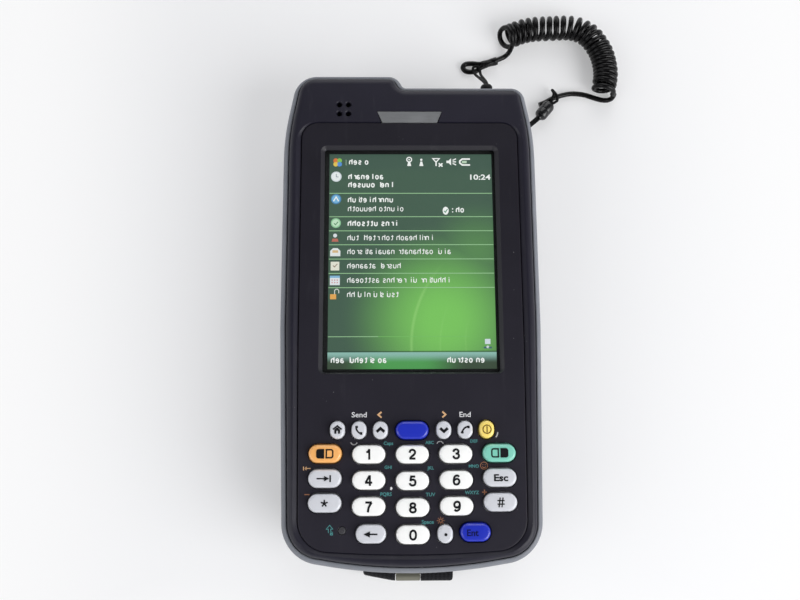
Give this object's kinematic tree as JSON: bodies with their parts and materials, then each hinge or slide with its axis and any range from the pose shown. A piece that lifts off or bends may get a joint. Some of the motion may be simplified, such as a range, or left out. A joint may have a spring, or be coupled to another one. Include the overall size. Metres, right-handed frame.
{
  "type": "handheld data terminal",
  "caption": "Handheld data terminal with a colour display, number keypad, code scanner in its top end, rubber bumper, hand strap and a stylus on a coiled tether.",
  "frame": {"origin": "middle of the footprint on the surface that the terminal lies on, without the tether", "axes": "+X to the right of the display, +Y towards the scanner end, +Z out of the display"},
  "size_m": [0.1169, 0.1962, 0.0328],
  "materials": {
    "housing_black": "fine grained moulding",
    "bumper_grey": "satin overmoulded rubber",
    "panel_black": "satin",
    "steel": "plated",
    "touch_glass": "clear, slightly glossy",
    "display": "lit picture",
    "frame_metal": "cast",
    "board_green": "solder mask",
    "membrane": "soft silicone",
    "window_grey": "translucent grey",
    "inner_black": "dark moulding",
    "window_red": "dark red filter",
    "button_black": "satin",
    "battery_black": "fine grained moulding",
    "latch_grey": "satin",
    "strap_black": "woven elastic webbing",
    "hook_metal": "brushed, slightly warm",
    "stylus_black": "satin",
    "cord_black": "smooth sheath",
    "key_white": "hard keycap",
    "key_grey": "hard keycap",
    "key_blue": "hard keycap",
    "key_yellow": "hard keycap",
    "key_orange": "hard keycap",
    "key_green": "hard keycap"
  },
  "bodies": {
    "terminal": {"rear_housing": "housing_black", "front_housing": "housing_black", "bumper": "bumper_grey", "face_panel": "panel_black", "housing_screws": "steel", "touch_glass": "touch_glass", "lcd_module": "display", "mid_frame": "frame_metal", "main_board": "board_green", "keypad_board": "board_green", "keypad_membrane": "membrane", "status_window": "window_grey", "shift_led": "window_grey", "earpiece": "inner_black", "scan_window": "window_red", "scan_engine": "inner_black", "headset_jack": "inner_black", "dock_connector": "inner_black", "hand_strap": "strap_black", "strap_pin": "steel", "strap_hook": "hook_metal", "tether_anchor": "stylus_black", "tether_string": "cord_black", "tether_head": "cord_black", "tether_coil": "cord_black"},
    "key_menu": {"key_menu": "key_white"},
    "key_send": {"key_send": "key_white"},
    "key_up": {"key_up": "key_white"},
    "key_scan": {"key_scan": "key_blue"},
    "key_down": {"key_down": "key_white"},
    "key_end": {"key_end": "key_white"},
    "key_power": {"key_power": "key_yellow"},
    "key_shift_orange": {"key_shift_orange": "key_orange"},
    "key_1": {"key_1": "key_white"},
    "key_2": {"key_2": "key_white"},
    "key_3": {"key_3": "key_white"},
    "key_shift_green": {"key_shift_green": "key_green"},
    "key_tab": {"key_tab": "key_grey"},
    "key_4": {"key_4": "key_white"},
    "key_5": {"key_5": "key_white"},
    "key_6": {"key_6": "key_white"},
    "key_esc": {"key_esc": "key_grey"},
    "key_star": {"key_star": "key_grey"},
    "key_7": {"key_7": "key_white"},
    "key_8": {"key_8": "key_white"},
    "key_9": {"key_9": "key_white"},
    "key_hash": {"key_hash": "key_grey"},
    "key_backspace": {"key_backspace": "key_white"},
    "key_0": {"key_0": "key_white"},
    "key_dot": {"key_dot": "key_white"},
    "key_enter": {"key_enter": "key_blue"},
    "left_scan_button": {"left_scan_button": "button_black"},
    "right_scan_button": {"right_scan_button": "button_black"},
    "volume_rocker": {"volume_rocker": "button_black"},
    "battery": {"battery_pack": "battery_black"},
    "battery_latch": {"battery_latch": "latch_grey"},
    "stylus": {"stylus": "stylus_black", "tether_barrel": "stylus_black", "tether_link": "cord_black", "tether_tail": "cord_black"}
  },
  "joints": [
    {"name": "press_menu", "type": "slide", "parent": "terminal", "child": "key_menu", "axis": [0, 0, -1], "range_m": [0, 0.0008], "stiffness_N_per_m": 400},
    {"name": "press_send", "type": "slide", "parent": "terminal", "child": "key_send", "axis": [0, 0, -1], "range_m": [0, 0.0008], "stiffness_N_per_m": 400},
    {"name": "press_up", "type": "slide", "parent": "terminal", "child": "key_up", "axis": [0, 0, -1], "range_m": [0, 0.0008], "stiffness_N_per_m": 400},
    {"name": "press_scan", "type": "slide", "parent": "terminal", "child": "key_scan", "axis": [0, 0, -1], "range_m": [0, 0.0008], "stiffness_N_per_m": 400},
    {"name": "press_down", "type": "slide", "parent": "terminal", "child": "key_down", "axis": [0, 0, -1], "range_m": [0, 0.0008], "stiffness_N_per_m": 400},
    {"name": "press_end", "type": "slide", "parent": "terminal", "child": "key_end", "axis": [0, 0, -1], "range_m": [0, 0.0008], "stiffness_N_per_m": 400},
    {"name": "press_power", "type": "slide", "parent": "terminal", "child": "key_power", "axis": [0, 0, -1], "range_m": [0, 0.0008], "stiffness_N_per_m": 400},
    {"name": "press_shift_orange", "type": "slide", "parent": "terminal", "child": "key_shift_orange", "axis": [0, 0, -1], "range_m": [0, 0.0008], "stiffness_N_per_m": 400},
    {"name": "press_1", "type": "slide", "parent": "terminal", "child": "key_1", "axis": [0, 0, -1], "range_m": [0, 0.0008], "stiffness_N_per_m": 400},
    {"name": "press_2", "type": "slide", "parent": "terminal", "child": "key_2", "axis": [0, 0, -1], "range_m": [0, 0.0008], "stiffness_N_per_m": 400},
    {"name": "press_3", "type": "slide", "parent": "terminal", "child": "key_3", "axis": [0, 0, -1], "range_m": [0, 0.0008], "stiffness_N_per_m": 400},
    {"name": "press_shift_green", "type": "slide", "parent": "terminal", "child": "key_shift_green", "axis": [0, 0, -1], "range_m": [0, 0.0008], "stiffness_N_per_m": 400},
    {"name": "press_tab", "type": "slide", "parent": "terminal", "child": "key_tab", "axis": [0, 0, -1], "range_m": [0, 0.0008], "stiffness_N_per_m": 400},
    {"name": "press_4", "type": "slide", "parent": "terminal", "child": "key_4", "axis": [0, 0, -1], "range_m": [0, 0.0008], "stiffness_N_per_m": 400},
    {"name": "press_5", "type": "slide", "parent": "terminal", "child": "key_5", "axis": [0, 0, -1], "range_m": [0, 0.0008], "stiffness_N_per_m": 400},
    {"name": "press_6", "type": "slide", "parent": "terminal", "child": "key_6", "axis": [0, 0, -1], "range_m": [0, 0.0008], "stiffness_N_per_m": 400},
    {"name": "press_esc", "type": "slide", "parent": "terminal", "child": "key_esc", "axis": [0, 0, -1], "range_m": [0, 0.0008], "stiffness_N_per_m": 400},
    {"name": "press_star", "type": "slide", "parent": "terminal", "child": "key_star", "axis": [0, 0, -1], "range_m": [0, 0.0008], "stiffness_N_per_m": 400},
    {"name": "press_7", "type": "slide", "parent": "terminal", "child": "key_7", "axis": [0, 0, -1], "range_m": [0, 0.0008], "stiffness_N_per_m": 400},
    {"name": "press_8", "type": "slide", "parent": "terminal", "child": "key_8", "axis": [0, 0, -1], "range_m": [0, 0.0008], "stiffness_N_per_m": 400},
    {"name": "press_9", "type": "slide", "parent": "terminal", "child": "key_9", "axis": [0, 0, -1], "range_m": [0, 0.0008], "stiffness_N_per_m": 400},
    {"name": "press_hash", "type": "slide", "parent": "terminal", "child": "key_hash", "axis": [0, 0, -1], "range_m": [0, 0.0008], "stiffness_N_per_m": 400},
    {"name": "press_backspace", "type": "slide", "parent": "terminal", "child": "key_backspace", "axis": [0, 0, -1], "range_m": [0, 0.0008], "stiffness_N_per_m": 400},
    {"name": "press_0", "type": "slide", "parent": "terminal", "child": "key_0", "axis": [0, 0, -1], "range_m": [0, 0.0008], "stiffness_N_per_m": 400},
    {"name": "press_dot", "type": "slide", "parent": "terminal", "child": "key_dot", "axis": [0, 0, -1], "range_m": [0, 0.0008], "stiffness_N_per_m": 400},
    {"name": "press_enter", "type": "slide", "parent": "terminal", "child": "key_enter", "axis": [0, 0, -1], "range_m": [0, 0.0008], "stiffness_N_per_m": 400},
    {"name": "left_trigger", "type": "slide", "parent": "terminal", "child": "left_scan_button", "axis": [1, 0, 0], "range_m": [0, 0.0008], "stiffness_N_per_m": 500},
    {"name": "right_trigger", "type": "slide", "parent": "terminal", "child": "right_scan_button", "axis": [-1, 0, 0], "range_m": [0, 0.0008], "stiffness_N_per_m": 500},
    {"name": "volume_tilt", "type": "hinge", "parent": "terminal", "child": "volume_rocker", "pos_m": [-0.0378, 0.0458, 0.0215], "axis": [0, 0, 1], "range_deg": [-4, 4], "stiffness_Nm_per_rad": 0.05},
    {"name": "battery_drop", "type": "slide", "parent": "terminal", "child": "battery", "axis": [0, 0, -1], "range_m": [0, 0.02], "deforming": ["hand_strap"]},
    {"name": "latch_slide", "type": "slide", "parent": "terminal", "child": "battery_latch", "axis": [0, -1, 0], "range_m": [0, 0.002], "stiffness_N_per_m": 300},
    {"name": "stylus_pull", "type": "slide", "parent": "terminal", "child": "stylus", "axis": [0, 1, 0], "range_m": [0, 0.105], "deforming": ["tether_head", "tether_coil", "tether_tail"]}
  ]
}
